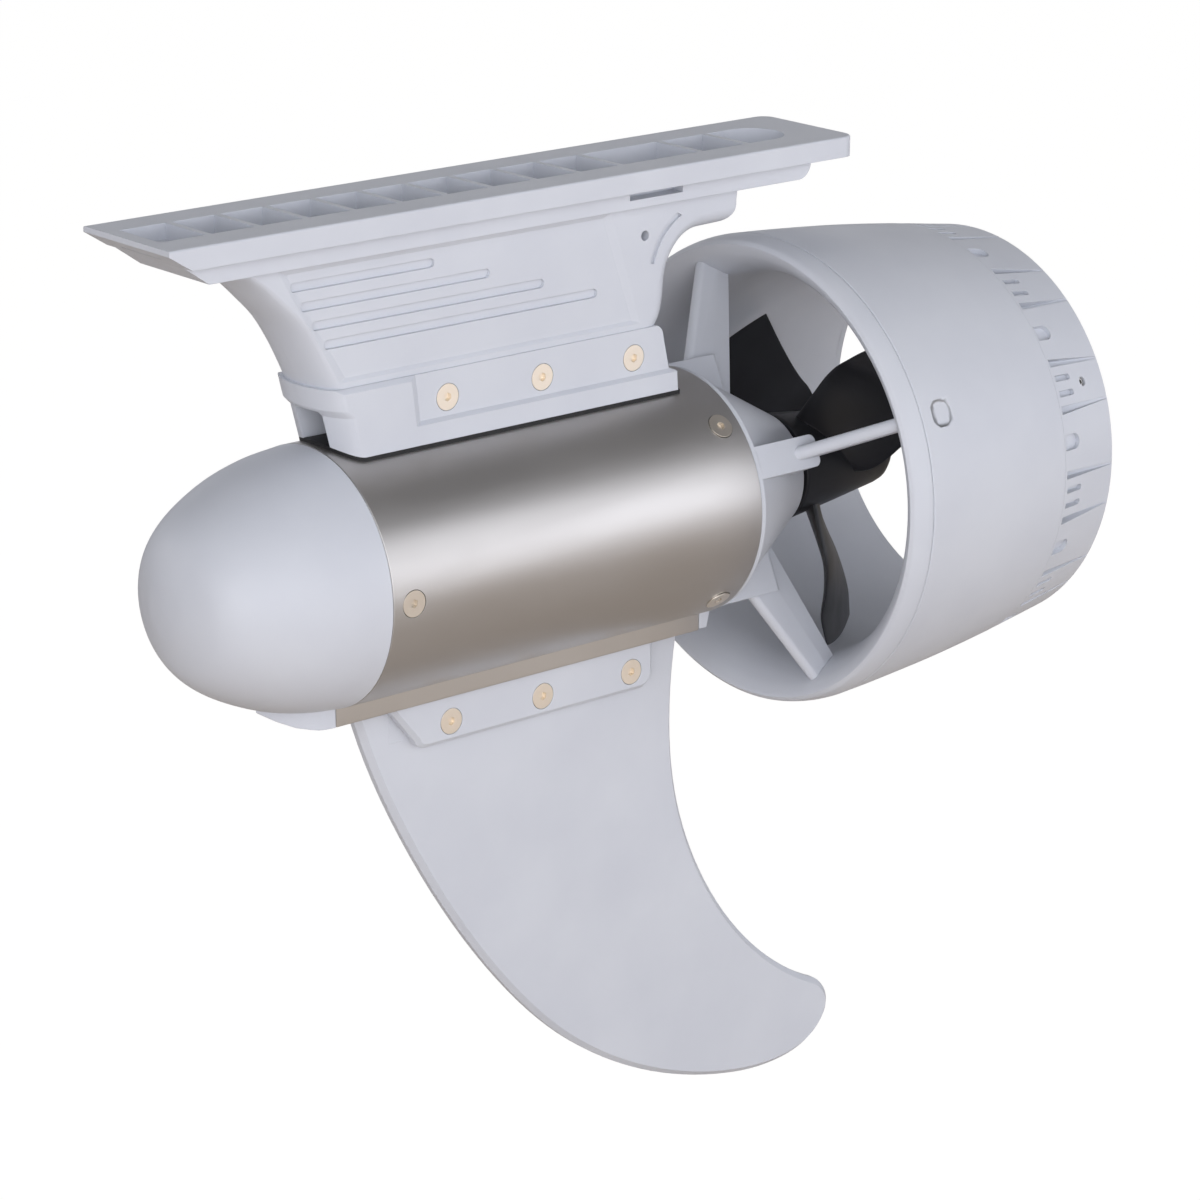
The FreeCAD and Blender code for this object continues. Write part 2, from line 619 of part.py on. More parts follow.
def duct_screws():
    out = []
    for i in range(4):
        a = CLOCK + 90 * i
        out.append(aimed(flat_screw(8.0), radial_point(DUCT_SCREW_X, duct_outer(DUCT_SCREW_X) - 0.2, a), duct_normal(DUCT_SCREW_X, a)))
    return group(out)


def outlet_ring():
    """Tapered outlet ring with the repeating grip pattern, every 30 degrees."""
    seat = THROAT_R + DUCT_WALL + PRESS
    prof = face([(RING_X0, 0, DUCT_OUT[3][1]), (DUCT_X1 - 0.6, 0, RIM_R + 0.1), (DUCT_X1, 0, RIM_R - 0.5), (DUCT_X1, 0, THROAT_R),
                 (LINER_X1, 0, THROAT_R), (LINER_X1, 0, seat), (RING_X0, 0, seat)])
    body = turn(prof)
    floor = 55.6
    tools = []
    for i in range(12):
        a = CLOCK + 30 * i
        for off in (-2.1, 2.1):
            tools.append(clocked(u_slot(RING_X0 + 1.2, RING_X0 + 7.6, 0.8, floor + 0.4), a + off))
        for off, skew in ((-6.4, 1), (6.4, -1)):
            tools.append(clocked(wedge(floor, skew), a + off))
        tools.append(clocked(u_slot(RING_X0 + 0.6, RING_X0 + 6.6, 2.1, floor + 0.6), a + 15))
    for tool in tools:
        body = body.cut(tool)
    for i in range(4):
        a = CLOCK + 90 * i
        body = body.cut(pin_hole(a))
    return body


def u_slot(x0, x1, half, z0):
    """Slot open upwards with a square front and a round rear end."""
    flat = loop([
        line((x0, -half, z0), (x1 - half, -half, z0)), arc((x1 - half, -half, z0), (x1, 0, z0), (x1 - half, half, z0)),
        line((x1 - half, half, z0), (x0, half, z0)), line((x0, half, z0), (x0, -half, z0))])
    return flat.extrude(V(0, 0, 12))


def wedge(z0, skew):
    """Tapered groove that is wide in front and runs out towards the rim."""
    x0, x1 = RING_X0 + 0.8, DUCT_X1 + 1
    flat = face([(x0, -1.1, z0), (x1, -0.25 + 0.7 * skew, z0 - 0.4), (x1, 0.25 + 0.7 * skew, z0 - 0.4), (x0, 1.1, z0)])
    return flat.extrude(V(0, 0, 12))


def ring_pins():
    """Small set screws that hold the outlet ring."""
    out = []
    for i in range(4):
        a = CLOCK + 90 * i
        low, top = THROAT_R + 1.0, THROAT_R + 4.4
        body = Part.makeCylinder(RING_SCREW_R, top - low, V(*radial_point(RING_SCREW_X, low, a)), V(*radial_dir(a)))
        body = body.cut(aimed(hex_prism(1.1, 1.4, (0, 0, 0), (0, 0, 1)), radial_point(RING_SCREW_X, top - 1.2, a), radial_dir(a)))
        out.append(body)
    return group(out)


# Lower fin

def fin_outline():
    lead = [(10.6, 0, -37.0), (16.0, 0, -52.4), (26.5, 0, -74.7), (58.8, 0, -123.5), (79.2, 0, -144.4), (107.5, 0, -162.6), (145.2, 0, -174.2)]
    tip = [(145.2, 0, -174.2), (160.5, 0, -174.4), (173.2, 0, -169.2), (177.3, 0, -161.0), (174.6, 0, -155.4), (170.4, 0, -152.6)]
    trail = [(170.4, 0, -152.6), (151.3, 0, -139.5), (128.6, 0, -110.4), (118.5, 0, -83.0), (116.5, 0, -61.2), (118.8, 0, -37.0)]
    return loop([curve(lead), curve(tip), curve(trail), line(trail[-1], lead[0])])


def fin():
    top = RAIL_BOT
    blade = fin_outline().extrude(V(0, FIN_HALF, 0)).fuse(fin_outline().extrude(V(0, -FIN_HALF, 0))).removeSplitter()
    blade = blade.makeChamfer(1.5, [e for e in blade.Edges if abs(abs(e.CenterOfMass.y) - FIN_HALF) < 0.01 and e.CenterOfMass.z < -42])
    blade = blade.cut(box(-20, 200, -20, 20, top, 0))
    boss = loop([
        line((18.4, 0, top), (27.4, 0, -47.6)), arc((27.4, 0, -47.6), (28.7, 0, -49.4), (31.0, 0, -50.1)),
        line((31.0, 0, -50.1), (102.0, 0, -50.1)), arc((102.0, 0, -50.1), (105.0, 0, -48.8), (106.2, 0, -45.9)),
        line((106.2, 0, -45.9), (106.2, 0, top)), line((106.2, 0, top), (18.4, 0, top))])
    pad = boss.extrude(V(0, BOSS_HALF, 0)).fuse(boss.extrude(V(0, -BOSS_HALF, 0))).removeSplitter()
    pad = pad.makeChamfer(1.2, [e for e in pad.Edges if abs(abs(e.CenterOfMass.y) - BOSS_HALF) < 0.01 and e.CenterOfMass.z < top - 0.5])
    body = union([blade, pad])
    body = body.cut(box(21.6, 104.4, -TONGUE_HALF - 0.1, TONGUE_HALF + 0.1, -47.6, top + 1))
    for i in range(3):
        x = FIN_SCREW[0] + SCREW_PITCH * i
        body = body.cut(aimed(sink(9), (x, -BOSS_HALF, FIN_SCREW[1]), (0, -1, 0)))
        body = body.cut(Part.makeCylinder(SCREW_R + FIT, 20, V(x, -1, FIN_SCREW[1]), V(0, 1, 0)))
        body = body.cut(hex_prism(5.7, 6, (x, BOSS_HALF - 2.4, FIN_SCREW[1]), (0, 1, 0)))
    return body.removeSplitter()


def fin_screws():
    return group([aimed(flat_screw(11.8), (FIN_SCREW[0] + SCREW_PITCH * i, -BOSS_HALF, FIN_SCREW[1]), (0, -1, 0)) for i in range(3)])


def fin_nuts():
    return group([nut_at(FIN_SCREW[0] + SCREW_PITCH * i, BOSS_HALF - 2.4, FIN_SCREW[1], 2.2) for i in range(3)])


# Cable gland on top of the housing, inside the pylon's front opening

def cable_gland():
    stem = Part.makeCylinder(GLAND_R, GLAND_SEAT - 26.2, V(GLAND_X, 0, 26.2), V(0, 0, 1))
    collar = hex_prism(8.6, 5.8, (GLAND_X, 0, GLAND_SEAT), (0, 0, 1))
    foot = Part.makeCylinder(GLAND_R + 0.6, 1.4, V(GLAND_X, 0, GLAND_SEAT), V(0, 0, 1))
    body = union([stem, foot, collar])
    return body.cut(Part.makeCylinder(GLAND_BORE, 30, V(GLAND_X, 0, 20), V(0, 0, 1)))


# Motor and electronics inside the housing

BULKHEAD_X = 22.0
FRONT_BEARING_X = 24.0
REAR_BEARING_X = 132.0
BEARING_W = 7.0
BEARING_R = 11.0
SHAFT_SEAL_W = 7.0
SHAFT_SEAL_R = 8.5
CORE_R = 13.0
MAGNET_T = 2.6
AIR_GAP = 0.6


def stator():
    """Slotted stack with twelve teeth."""
    body = ring(38, 84, CORE_R + MAGNET_T + AIR_GAP, POD_R - POD_WALL - 0.1)
    for i in range(12):
        slot = box(37, 85, -2.3, 2.3, 17.8, 26.4)
        mouth = box(37, 85, -0.8, 0.8, 15, 18)
        body = body.cut(clocked(slot.fuse(mouth), 15 + 30 * i))
    return body


def end_turn(x0, x1):
    """Bundle of wires round the stack's end, with its corners taken off."""
    return turn(face([(x0, 0, 20.2), (x0 + 0.9, 0, 19.2), (x1 - 0.9, 0, 19.2), (x1, 0, 20.2),
                      (x1, 0, 24.8), (x1 - 0.9, 0, 25.8), (x0 + 0.9, 0, 25.8), (x0, 0, 24.8)]))


def windings():
    """Copper: one bar in each slot, and the two end turns they run into."""
    legs = [clocked(box(37.7, 84.3, -2.1, 2.1, 20.4, 24.6), 15 + 30 * i) for i in range(12)]
    return group([end_turn(34.6, 37.7), end_turn(84.3, 87.4)] + legs)


def rotor_core():
    body = ring(40, 82, SHAFT_R + PRESS, CORE_R)
    for i in range(6):
        body = body.cut(Part.makeCylinder(1.8, 60, V(*radial_point(30, 8.6, 60 * i)), V(1, 0, 0)))
    return body


def magnets():
    out = []
    blank = ring(40, 82, CORE_R + PRESS, CORE_R + MAGNET_T)
    for i in range(8):
        out.append(clocked(blank.common(box(30, 90, -4.6, 4.6, 8, 20)), 45 * i))
    return group(out)


def shaft():
    body = ring(22, 193.6, 0, SHAFT_R)
    body = body.cut(Part.makeCylinder(PIN_R + PRESS, 40, V(PIN_X, -20, 0), V(0, 1, 0)))
    tip = turn(face([(192.6, 0, SHAFT_R + 1), (194, 0, SHAFT_R + 1), (194, 0, SHAFT_R - 1.4)]))
    return body.cut(tip)


PIN_X = 155.2
PIN_R = 1.25
PIN_HALF = 8.0


def bearing(x0, x1, r_out):
    """Ball bearing as one ring with a race groove on each face."""
    body = ring(x0, x1, SHAFT_R + RUN, r_out)
    mid = 0.5 * (SHAFT_R + r_out)
    for a, b in ((x0 - 1, x0 + 0.5), (x1 - 0.5, x1 + 1)):
        body = body.cut(ring(a, b, mid - 1.1, mid + 1.1))
    return body


def front_bearing():
    return bearing(FRONT_BEARING_X, FRONT_BEARING_X + BEARING_W, BEARING_R)


def rear_bearing():
    return bearing(REAR_BEARING_X, REAR_BEARING_X + BEARING_W, BEARING_R)


def shaft_seal():
    """Lip seal behind the rear bearing, open towards the water."""
    x0 = REAR_BEARING_X + BEARING_W
    x1 = x0 + SHAFT_SEAL_W
    body = ring(x0, x1, SHAFT_R + RUN, SHAFT_SEAL_R)
    return body.cut(ring(x0 + 2.3, x1 + 1, SHAFT_R + 1.3, SHAFT_SEAL_R - 1.9))


def bulkhead():
    """Front bearing plate, also the heat path to the housing."""
    body = ring(BULKHEAD_X, BULKHEAD_X + 10.0, 9.0, POD_R - POD_WALL - 0.1)
    body = body.cut(ring(FRONT_BEARING_X, BULKHEAD_X + 11.0, 0, BEARING_R + PRESS))
    for i in range(6):
        body = body.cut(Part.makeCylinder(4.4, 30, V(*radial_point(BULKHEAD_X - 5, 20.0, 60 * i)), V(1, 0, 0)))
    return body


def motor_flange():
    """Rear plate of the motor, behind the stack."""
    body = ring(89.0, 96.0, 9.0, POD_R - POD_WALL - 0.1)
    for i in range(6):
        body = body.cut(Part.makeCylinder(4.4, 30, V(*radial_point(80, 20.0, 60 * i)), V(1, 0, 0)))
    return body


def controller():
    """Round circuit board with its capacitors, behind the nose."""
    board = ring(12.6, 14.2, 2.0, 24.8)
    parts = [board]
    for y, z, r, h in ((-12, 6, 3.2, 7.4), (-12, -4, 3.2, 7.4), (10, -10, 2.6, 5.0)):
        parts.append(Part.makeCylinder(r, h, V(14.2, y, z), V(1, 0, 0)))
    parts.append(box(14.2, 16.4, 5, 16, -3, 8))
    legs = []
    for a in (90, 210, 330):     # between the bulkhead's holes
        p = radial_point(14.2, 21.0, a)
        legs.append(Part.makeCylinder(1.9, BULKHEAD_X - 14.2, V(*p), V(1, 0, 0)))
    return union(parts + legs)


# Propeller

def blade_section(height, trail, lead, thick):
    """Closed foil on the plane square to the blade's axis; the edges are x, y points."""
    dx, dy = trail[0] - lead[0], trail[1] - lead[1]
    chord = math.hypot(dx, dy)
    foil = ((0.0, 0.0), (0.12, 0.72), (0.4, 1.0), (0.75, 0.62), (1.0, 0.0))
    outline = [(t, h) for t, h in foil] + [(t, -h) for t, h in reversed(foil[1:-1])]
    pts = []
    for t, h in outline:
        off = h * thick / 2 / chord
        pts.append(V(lead[0] + t * dx - off * dy, lead[1] + t * dy + off * dx, height))
    c = Part.BSplineCurve()
    c.interpolate(Points=pts, PeriodicFlag=True)
    return Part.Wire([c.toShape()])


# height above the motor axis, trailing edge, leading edge and thickness
BLADE_STATIONS = (
    (6.0, (172.0, -8.6), (159.0, 7.6), 4.8),
    (11.0, (174.2, -11.0), (158.8, 8.6), 4.4),
    (16.0, (176.6, -11.1), (158.6, 9.4), 3.9),
    (22.0, (179.3, -10.0), (158.6, 10.5), 3.4),
    (28.0, (181.8, -9.6), (158.5, 11.5), 2.9),
    (34.5, (184.2, -10.0), (157.4, 11.3), 2.5),
    (40.6, (186.2, -10.9), (156.2, 10.2), 2.1),
    (45.4, (187.4, -12.3), (157.0, 9.6), 1.8),
    (50.8, (188.6, -14.0), (158.8, 8.7), 1.4))


def blade():
    wires = [blade_section(*s) for s in BLADE_STATIONS]
    return Part.makeLoft(wires, True, False)


def hub_solid():
    edges = [line((PROP_X0, 0, 0), (PROP_X0, 0, HUB_R0 - 1.0)), line((PROP_X0, 0, HUB_R0 - 1.0), (PROP_X0 + 1.0, 0, HUB_R0)),
             line((PROP_X0 + 1.0, 0, HUB_R0), (185.6, 0, HUB_R1 + 0.9)),
             arc((185.6, 0, HUB_R1 + 0.9), (189.0, 0, HUB_R1 - 1.1), (PROP_X1, 0, 6.6)), line((PROP_X1, 0, 6.6), (PROP_X1, 0, 0)),
             line((PROP_X1, 0, 0), (PROP_X0, 0, 0))]
    return turn(loop(edges))


def propeller():
    limit = ring(140, 210, 0, PROP_R)
    parts = [hub_solid()] + [clocked(blade().common(limit), a) for a in BLADES]
    body = union(parts)
    body = body.cut(ring(150, 200, 0, SHAFT_R + PRESS))
    # slot for the drive pin, open towards the housing so that the hub slides off
    r, h = PIN_R + PRESS, PIN_HALF + 0.2
    body = body.cut(box(PROP_X0 - 1, PIN_X, -h, h, -r, r))
    body = body.cut(Part.makeCylinder(r, 2 * h, V(PIN_X, -h, 0), V(0, 1, 0)))
    return body.cut(ring(WASHER_X, 200, 0, WASHER_R + 0.2))


WASHER_X = 187.4
WASHER_T = 1.0
WASHER_R = 5.8


def drive_pin():
    return Part.makeCylinder(PIN_R, 2 * PIN_HALF, V(PIN_X, -PIN_HALF, 0), V(0, 1, 0))


def prop_washer():
    return ring(WASHER_X, WASHER_X + WASHER_T, SHAFT_R + 0.1, WASHER_R)


def prop_nut():
    body = hex_prism(9.4, 4.2, (WASHER_X + WASHER_T, 0, 0), (1, 0, 0))
    return body.cut(ring(180, 200, 0, SHAFT_R + PRESS))


NODES = {
    "base_plate": base_plate, "pylon_near": pylon_near, "pylon_far": pylon_far,
    "pylon_gasket": pylon_gasket, "pylon_screws": pylon_screws, "pylon_nuts": pylon_nuts,
    "pod_shell": pod_shell, "nose_cone": nose_cone, "nose_seal": nose_seal,
    "tail_cap": tail_cap, "tail_seal": tail_seal, "pod_screws": pod_screws,
    "struts": struts, "duct_liner": duct_liner, "duct_shell": duct_shell,
    "outlet_ring": outlet_ring, "duct_screws": duct_screws, "ring_pins": ring_pins,
    "fin": fin, "fin_screws": fin_screws, "fin_nuts": fin_nuts,
    "cable_gland": cable_gland, "controller": controller, "bulkhead": bulkhead,
    "front_bearing": front_bearing, "stator": stator, "windings": windings,
    "motor_flange": motor_flange, "rear_bearing": rear_bearing, "shaft_seal": shaft_seal,
    "shaft": shaft, "rotor_core": rotor_core, "magnets": magnets,
    "propeller": propeller, "drive_pin": drive_pin, "prop_washer": prop_washer, "prop_nut": prop_nut,
}


def place(shape):
    out = shape.copy()
    out.translate(V(-0.5 * (PLATE_X0 + PLATE_X1), 0, -PLATE_TOP))
    return out


def main():
    os.makedirs("parts", exist_ok=True)
    for name, make in NODES.items():
        shape = place(make())
        shape.exportStep("parts/" + name + ".step")
        print(name, len(shape.Solids), round(shape.Volume, 1), shape.isValid())


main()
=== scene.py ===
import json
import math

import bmesh
import bpy
from mathutils import Matrix, Vector


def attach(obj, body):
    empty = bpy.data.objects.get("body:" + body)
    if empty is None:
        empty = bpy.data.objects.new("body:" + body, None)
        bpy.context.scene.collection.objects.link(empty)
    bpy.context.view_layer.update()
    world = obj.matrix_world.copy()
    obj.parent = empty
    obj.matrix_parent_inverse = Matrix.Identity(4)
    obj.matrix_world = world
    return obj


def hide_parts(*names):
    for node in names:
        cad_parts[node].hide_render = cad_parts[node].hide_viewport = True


# Underwater thruster. Pieces are drawn in millimetres with the motor axis on X
# and the nose joint at x = 0, then moved to the row frame in metres.

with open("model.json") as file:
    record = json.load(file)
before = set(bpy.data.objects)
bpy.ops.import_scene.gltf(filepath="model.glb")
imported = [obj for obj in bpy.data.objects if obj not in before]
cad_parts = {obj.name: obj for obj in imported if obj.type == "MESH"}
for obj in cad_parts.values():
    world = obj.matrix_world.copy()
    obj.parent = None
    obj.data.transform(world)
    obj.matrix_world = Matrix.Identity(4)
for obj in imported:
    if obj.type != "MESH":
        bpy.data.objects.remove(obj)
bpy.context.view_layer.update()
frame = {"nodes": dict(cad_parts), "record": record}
NODES = frame["nodes"]
MM = 0.001
AXIS_DROP = 91.4          # from the plate's top face down to the motor axis
SHIFT = Vector((-56.8, 0.0, -AXIS_DROP))
SKIN_GAP = 0.02           # kept between skins whose joint shows as a line

# Sizes in millimetres, as in the solids; the propeller is 0.2 smaller in radius
POD_R = 33.0
POD_LEN = 119.2
RAIL_HALF = 9.25
RAIL_BOT = -36.6
SKIRT_HALF = 12.6
COLUMN_HALF = 11.0
NOSE_LEN = 43.6
CLOCK = 24.5
EAR_HALF = 4.3
EAR_R = 32.5
EAR_END = 141.4
EAR_ROUND = 1.9
CONE = ((120.8, 32.0), (150.6, 15.3))
DUCT_X0 = 144.3
LIP_R = 61.3
DUCT_SEAM = 151.0
DUCT_R = 63.4
DUCT_SCREW_X = 158.3
RING_X0 = 205.0
DUCT_X1 = 227.0
THROAT_R = 51.5
# the bell mouth, from its crest to the throat, as (x, r)
BELL = [(DUCT_X0, LIP_R), (145.0, 60.0), (147.0, 57.7), (151.0, 55.0), (157.0, 52.7), (165.0, THROAT_R)]
PROP_R = 50.2
BLADES = (40.0, 160.0, 280.0)
SCREW_HEAD_R = 3.35
SCREW_SHANK_R = 1.65
# housing screws as (x, angle)
POD_SCREWS = [(6.2, 0.0), (6.2, 180.0)] + [(POD_LEN - 6.3, a) for a in (45.0, 135.0, 225.0, 315.0)]
# grip grooves in the pylon's side as (x0, x1, z)
GROOVES = ((-12.4, 30.6, 75.8), (-9.6, 47.8, 70.7), (-6.2, 65.0, 65.6), (-2.8, 82.2, 60.5))
GROOVE_HALF = 1.15

# Camera, solved from the photograph
AZIMUTH, ELEVATION, ROLL = -40.56, 17.97, 0.34
CAMERA_TARGET = Vector((92.69, 0.0, -25.06))
CAMERA_AWAY = 1.0237
LENS = 117.92
SENSOR = 36.0


# Camera at the photograph's angle

def aim_camera():
    """A view along the photograph's own line, with its small roll."""
    azimuth, elevation, roll = (math.radians(v) for v in (AZIMUTH, ELEVATION, ROLL))
    flat = math.cos(elevation)
    back = Vector((math.sin(azimuth) * flat, -math.cos(azimuth) * flat, math.sin(elevation)))
    right = (-back).cross(Vector((0, 0, 1))).normalized()
    up = right.cross(-back)
    c, s = math.cos(roll), math.sin(roll)
    right, up = right * c + up * s, up * c - right * s
    target = (CAMERA_TARGET + SHIFT) * MM
    data = bpy.data.cameras.new("camera")
    data.sensor_width = SENSOR
    data.lens = LENS
    data.clip_start, data.clip_end = 0.05, 50.0
    cam = bpy.data.objects.new("camera", data)
    bpy.context.scene.collection.objects.link(cam)
    turn = Matrix((right, up, back)).transposed().to_4x4()
    cam.matrix_world = Matrix.Translation(target + back * CAMERA_AWAY) @ turn
    bpy.context.scene.camera = cam


# Node trees

def linear(hex_colour, alpha=1.0):
    """An sRGB hex value as linear colour."""
    out = []
    for i in (1, 3, 5):
        v = int(hex_colour[i:i + 2], 16) / 255.0
        out.append(v / 12.92 if v <= 0.04045 else ((v + 0.055) / 1.055) ** 2.4)
    return (*out, alpha)


def add(tree, kind, inputs=None, **settings):
    """A node with its settings; an input that is a socket is linked, any other is set."""
    made = tree.nodes.new(kind)
    for key, value in settings.items():
        setattr(made, key, value)
    for key, value in (inputs or {}).items():
        if isinstance(value, bpy.types.NodeSocket):
            tree.links.new(value, made.inputs[key])
        else:
            made.inputs[key].default_value = value
    return made


def blank_material(name):
    mat = bpy.data.materials.new(name)
    mat.use_nodes = True
    tree = mat.node_tree
    tree.nodes.clear()
    place = add(tree, "ShaderNodeTexCoord").outputs["Object"]
    return mat, tree, place


def close_material(tree, shader):
    add(tree, "ShaderNodeOutputMaterial", {"Surface": shader.outputs["BSDF"]})


def blotch(tree, place, size_mm, low, high, stretch=(1, 1, 1)):
    """Soft uneven value between low and high, size_mm across."""
    scaled = add(tree, "ShaderNodeMapping", {"Vector": place, "Scale": stretch}).outputs["Vector"]
    noise = add(tree, "ShaderNodeTexNoise", {"Vector": scaled, "Scale": 1000.0 / size_mm, "Detail": 3.0})
    return add(tree, "ShaderNodeMapRange", {
        "Value": noise.outputs["Fac"], "From Min": 0.3, "From Max": 0.7,
        "To Min": low, "To Max": high}).outputs["Result"]


def tinted(tree, fac, low, high):
    """A colour that runs from low to high with a value."""
    mix = add(tree, "ShaderNodeMix", {"Factor": fac, "A": linear(low), "B": linear(high)}, data_type="RGBA")
    return mix.outputs["Result"]


def relief(tree, vector, spacing_mm, detail, strength, depth_mm, edge_mm):
    """Normal with softened edges and a fine bump over them."""
    soft = add(tree, "ShaderNodeBevel", {"Radius": edge_mm * MM}, samples=6).outputs["Normal"]
    noise = add(tree, "ShaderNodeTexNoise", {"Vector": vector, "Scale": 1000.0 / spacing_mm, "Detail": detail})
    return add(tree, "ShaderNodeBump", {
        "Height": noise.outputs["Fac"], "Strength": strength,
        "Distance": depth_mm * MM, "Normal": soft}).outputs["Normal"]


def moulded_plastic(name, base, deep, roughness, edge_mm=0.25, grain_mm=0.55):
    """Injection-moulded plastic: even satin skin, fine spark-eroded grain, softened edges."""
    mat, tree, place = blank_material(name)
    colour = tinted(tree, blotch(tree, place, 28.0, 0.0, 1.0), deep, base)
    rough = blotch(tree, place, 9.0, roughness - 0.035, roughness + 0.035)
    normal = relief(tree, place, grain_mm, 2.0, 0.35, 0.010, edge_mm)
    close_material(tree, add(tree, "ShaderNodeBsdfPrincipled", {
        "Base Color": colour, "Roughness": rough, "IOR": 1.5, "Normal": normal}))
    return mat


def metal(name, base, roughness, lines_mm=0.5, stretch=(1, 1, 1), depth_mm=0.004):
    """Bare or anodised metal; lines_mm sets the spacing of the drawn or turned lines."""
    mat, tree, place = blank_material(name)
    rough = blotch(tree, place, 12.0, roughness - 0.04, roughness + 0.04, stretch=(0.25, 1, 1))
    scaled = add(tree, "ShaderNodeMapping", {"Vector": place, "Scale": stretch}).outputs["Vector"]
    normal = relief(tree, scaled, lines_mm, 3.0, 0.3, depth_mm, 0.15)
    close_material(tree, add(tree, "ShaderNodeBsdfPrincipled", {
        "Base Color": linear(base), "Metallic": 1.0, "Roughness": rough, "Normal": normal}))
    return mat


def plain_rubber(name, base):
    """Moulded nitrile rubber: dark and dull, with a little bloom."""
    mat, tree, place = blank_material(name)
    colour = tinted(tree, blotch(tree, place, 4.0, 0.0, 1.0), base, "#1d1d1e")
    close_material(tree, add(tree, "ShaderNodeBsdfPrincipled", {"Base Color": colour, "Roughness": 0.62}))
    return mat


MATS = {
    "hull_plastic": moulded_plastic("satin_moulded_asa", "#d4d7dd", "#ced1d8", 0.46),
    "coated_screw": moulded_plastic("powder_coated_steel", "#ced1d8", "#c9ccd3", 0.42, edge_mm=0.12),
    "housing_alu": metal("satin_anodised_aluminium", "#c6c3c0", 0.43, 0.35, stretch=(0.02, 1, 1)),
    "rail_alu": metal("satin_anodised_rail", "#cdc8c2", 0.40, 0.35, stretch=(0.02, 1, 1)),
    "screw_steel": metal("passivated_screw_steel", "#fff4e4", 0.42, 0.25),
    "housing_screw": metal("stainless_screw_steel", "#ece3d6", 0.36, 0.25),
    "nut_steel": metal("turned_stainless_steel", "#b9b8b5", 0.28, 0.2),
    "inner_alu": metal("machined_aluminium", "#c2c3c5", 0.3, 0.3),
    "core_steel": metal("varnished_lamination_steel", "#55565a", 0.45, 0.5, stretch=(6, 1, 1)),
    "magnet": metal("nickel_plated_magnet", "#a5a4a0", 0.2),
    "copper": metal("enamelled_copper", "#b5622f", 0.3, 0.6, depth_mm=0.02),
    "prop_plastic": moulded_plastic("glass_filled_nylon", "#232326", "#1d1d20", 0.40,
                                    edge_mm=0.3, grain_mm=0.8),
    "black_plastic": moulded_plastic("black_nylon", "#1b1b1d", "#161618", 0.5, edge_mm=0.2),
    "board": moulded_plastic("solder_masked_board", "#164a2c", "#123f25", 0.35, edge_mm=0.1),
    "rubber": plain_rubber("nitrile_rubber", "#101011"),
}
SLOTS = {s["node"]: s["material_slot"] for s in frame["record"]["subparts"]}


# Shapes

def lathe(outline, steps=192):
    """Spin a closed (x, r) outline about the motor axis."""
    bm = bmesh.new()
    verts = [bm.verts.new((x, 0.0, r)) for x, r in outline]
    edges = [bm.edges.new(pair) for pair in zip(verts, verts[1:] + verts[:1])]
    bmesh.ops.spin(bm, geom=verts + edges, cent=(0, 0, 0), axis=(1, 0, 0), angle=2 * math.pi,
                   steps=steps, use_merge=True)
    bmesh.ops.remove_doubles(bm, verts=bm.verts, dist=0.001)
    bmesh.ops.dissolve_degenerate(bm, edges=bm.edges, dist=0.001)
    bmesh.ops.recalc_face_normals(bm, faces=bm.faces)
    return bm


def through(points, per=6):
    """A smooth run through the points, Catmull-Rom."""
    pts = [Vector(p) for p in points]
    pts = [2 * pts[0] - pts[1]] + pts + [2 * pts[-1] - pts[-2]]
    out = []
    for a, b, c, d in zip(pts, pts[1:], pts[2:], pts[3:]):
        for k in range(per):
            t = k / per
            out.append(0.5 * (2 * b + (c - a) * t + (2 * a - 5 * b + 4 * c - d) * t * t
                              + (3 * b - a - 3 * c + d) * t ** 3))
    return [tuple(p) for p in out + [pts[-2]]]


def soften(bm, width, angle=35.0):
    """Bevel every edge sharper than angle, in two steps."""
    sharp = [e for e in bm.edges if e.is_manifold and e.calc_face_angle(0.0) > math.radians(angle)]
    bmesh.ops.bevel(bm, geom=sharp, offset=width, offset_type="OFFSET", affect="EDGES",
                    segments=2, profile=0.5, clamp_overlap=True, material=-1)


def finished(bm, name, body, slot, nodes, smooth=30.0):
    """Turn a drawing in millimetres into a finished piece of the row."""
    bmesh.ops.translate(bm, verts=bm.verts, vec=SHIFT)
    bmesh.ops.scale(bm, verts=bm.verts, vec=(MM, MM, MM))
    return dressed(bm, name, body, slot, nodes, smooth)


def dressed(bm, name, body, slot, nodes, smooth=30.0):
    """Turn a drawing in metres into a piece on its body, in place of its solids."""
    mesh = bpy.data.meshes.new(name)
    bm.to_mesh(mesh)
    bm.free()
    for kept in [a for a in mesh.attributes if a.name in ("custom_normal", "sharp_edge", "sharp_face")]:
        mesh.attributes.remove(kept)
    mesh.polygons.foreach_set("use_smooth", [True] * len(mesh.polygons))
    mesh.set_sharp_from_angle(angle=math.radians(smooth))
    mesh.materials.append(MATS[slot])
    obj = bpy.data.objects.new(name, mesh)
    bpy.context.scene.collection.objects.link(obj)
    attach(obj, body)
    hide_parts(*nodes)
    crisp = obj.modifiers.new("crisp", "WEIGHTED_NORMAL")
    crisp.keep_sharp = True
    crisp.weight = 100
    return obj


def copy_of(node):
    """The solid's own mesh, merged at its seams."""
    bm = bmesh.new()
    bm.from_mesh(NODES[node].data)
    bmesh.ops.remove_doubles(bm, verts=bm.verts, dist=0.000004)
    return bm


def in_mm(bm):
    """A solid's copy back in the millimetres of the drawings."""
    bmesh.ops.scale(bm, verts=bm.verts, vec=(1 / MM, 1 / MM, 1 / MM))
    bmesh.ops.translate(bm, verts=bm.verts, vec=-SHIFT)
    return bm


def refined(node, body="root"):
    """The solid's own shape with smooth shading and the scene's material."""
    return dressed(copy_of(node), node + "_skin", body, SLOTS[node], (node,))


